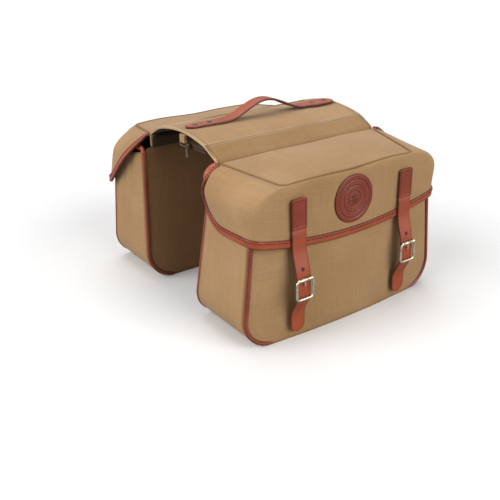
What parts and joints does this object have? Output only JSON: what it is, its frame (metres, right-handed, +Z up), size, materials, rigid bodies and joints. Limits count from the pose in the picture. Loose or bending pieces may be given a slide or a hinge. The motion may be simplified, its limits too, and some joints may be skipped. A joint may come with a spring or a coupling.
{
  "type": "saddle bag",
  "caption": "Canvas saddle bag with leather trim: flapped side bags hang from an arched bridge with a carry handle, to lie over a bicycle rear rack.",
  "frame": {"origin": "on the floor plane under the middle of the bridge, centre of the bounding box", "axes": "+X along the bicycle towards its front, +Y towards its left side, +Z up; the bags stand on Z = 0"},
  "size_m": [0.372, 0.4882, 0.3035],
  "materials": {
    "canvas": "heavy woven cotton canvas, waxed, khaki",
    "leather": "smooth red-tan bridle leather with dark edges",
    "nickel": "polished nickel plate",
    "board": "dark lined stiffener board",
    "edge_tape": "cream cotton edge tape",
    "webbing": "dark woven webbing with hook-and-loop"
  },
  "bodies": {
    "bridge": {"bridge_canvas": "canvas", "bridge_board": "board", "bridge_edge_tape": "edge_tape", "rack_straps": "webbing", "handle_ends": "leather", "handle_rivets": "nickel", "end_tab": "edge_tape", "zip_tape": "edge_tape"},
    "handle": {"handle_grip": "leather"},
    "ring": {"end_ring": "nickel"},
    "slider": {"zip_slider": "nickel"},
    "pull": {"zip_pull": "nickel"},
    "right_bag": {"right_front_panel": "canvas", "right_gusset": "canvas", "right_back_panel": "canvas", "right_back_board": "board", "right_base_board": "board", "right_front_piping": "leather", "right_back_piping": "leather", "right_corner_patches": "leather", "right_snap_studs": "nickel"},
    "right_flap": {"right_lid_panel": "canvas", "right_flap_band": "canvas", "right_flap_binding": "leather", "right_medallion": "leather", "right_strap_tabs": "leather"},
    "right_rear_strap": {"right_rear_strap": "leather", "right_rear_buckle": "nickel", "right_rear_socket": "nickel"},
    "right_rear_prong": {"right_rear_prong": "nickel"},
    "right_fore_strap": {"right_fore_strap": "leather", "right_fore_buckle": "nickel", "right_fore_socket": "nickel"},
    "right_fore_prong": {"right_fore_prong": "nickel"},
    "left_bag": {"left_front_panel": "canvas", "left_gusset": "canvas", "left_back_panel": "canvas", "left_back_board": "board", "left_base_board": "board", "left_front_piping": "leather", "left_back_piping": "leather", "left_corner_patches": "leather", "left_snap_studs": "nickel"},
    "left_flap": {"left_lid_panel": "canvas", "left_flap_band": "canvas", "left_flap_binding": "leather", "left_medallion": "leather", "left_strap_tabs": "leather"},
    "left_rear_strap": {"left_rear_strap": "leather", "left_rear_buckle": "nickel", "left_rear_socket": "nickel"},
    "left_rear_prong": {"left_rear_prong": "nickel"},
    "left_fore_strap": {"left_fore_strap": "leather", "left_fore_buckle": "nickel", "left_fore_socket": "nickel"},
    "left_fore_prong": {"left_fore_prong": "nickel"}
  },
  "joints": [
    {"name": "handle_swing", "type": "hinge", "parent": "bridge", "child": "handle", "pos_m": [0, 0, 0.2805], "axis": [1, 0, 0], "range_deg": [-20, 20]},
    {"name": "ring_swing", "type": "hinge", "parent": "bridge", "child": "ring", "pos_m": [-0.1529, -0.012, 0.26402], "axis": [0, 1, 0], "range_deg": [-5, 75]},
    {"name": "zip_slide", "type": "slide", "parent": "bridge", "child": "slider", "axis": [0, -1, 0], "range_m": [0, 0.03]},
    {"name": "pull_swing", "type": "hinge", "parent": "slider", "child": "pull", "pos_m": [-0.1562, -0.028, 0.2568], "axis": [0, 1, 0], "range_deg": [-3, 36]},
    {"name": "right_bag_swing", "type": "hinge", "parent": "bridge", "child": "right_bag", "pos_m": [0, -0.106, 0.25], "axis": [-1, 0, 0], "range_deg": [-3, 50]},
    {"name": "right_flap_lift", "type": "hinge", "parent": "right_bag", "child": "right_flap", "pos_m": [0, -0.108, 0.2485], "axis": [-1, 0, 0], "range_deg": [0, 95]},
    {"name": "right_rear_strap_lift", "type": "hinge", "parent": "right_flap", "child": "right_rear_strap", "pos_m": [-0.102, -0.2275, 0.177], "axis": [-1, 0, 0], "range_deg": [0, 40]},
    {"name": "right_rear_prong_lift", "type": "hinge", "parent": "right_rear_strap", "child": "right_rear_prong", "pos_m": [-0.102, -0.2415, 0.104], "axis": [-1, 0, 0], "range_deg": [0, 95]},
    {"name": "right_fore_strap_lift", "type": "hinge", "parent": "right_flap", "child": "right_fore_strap", "pos_m": [0.102, -0.2275, 0.177], "axis": [-1, 0, 0], "range_deg": [0, 40]},
    {"name": "right_fore_prong_lift", "type": "hinge", "parent": "right_fore_strap", "child": "right_fore_prong", "pos_m": [0.102, -0.2415, 0.104], "axis": [-1, 0, 0], "range_deg": [0, 95]},
    {"name": "left_bag_swing", "type": "hinge", "parent": "bridge", "child": "left_bag", "pos_m": [0, 0.106, 0.25], "axis": [1, 0, 0], "range_deg": [-3, 50]},
    {"name": "left_flap_lift", "type": "hinge", "parent": "left_bag", "child": "left_flap", "pos_m": [0, 0.108, 0.2485], "axis": [1, 0, 0], "range_deg": [0, 95]},
    {"name": "left_rear_strap_lift", "type": "hinge", "parent": "left_flap", "child": "left_rear_strap", "pos_m": [-0.102, 0.2275, 0.177], "axis": [1, 0, 0], "range_deg": [0, 40]},
    {"name": "left_rear_prong_lift", "type": "hinge", "parent": "left_rear_strap", "child": "left_rear_prong", "pos_m": [-0.102, 0.2415, 0.104], "axis": [1, 0, 0], "range_deg": [0, 95]},
    {"name": "left_fore_strap_lift", "type": "hinge", "parent": "left_flap", "child": "left_fore_strap", "pos_m": [0.102, 0.2275, 0.177], "axis": [1, 0, 0], "range_deg": [0, 40]},
    {"name": "left_fore_prong_lift", "type": "hinge", "parent": "left_fore_strap", "child": "left_fore_prong", "pos_m": [0.102, 0.2415, 0.104], "axis": [1, 0, 0], "range_deg": [0, 95]}
  ]
}
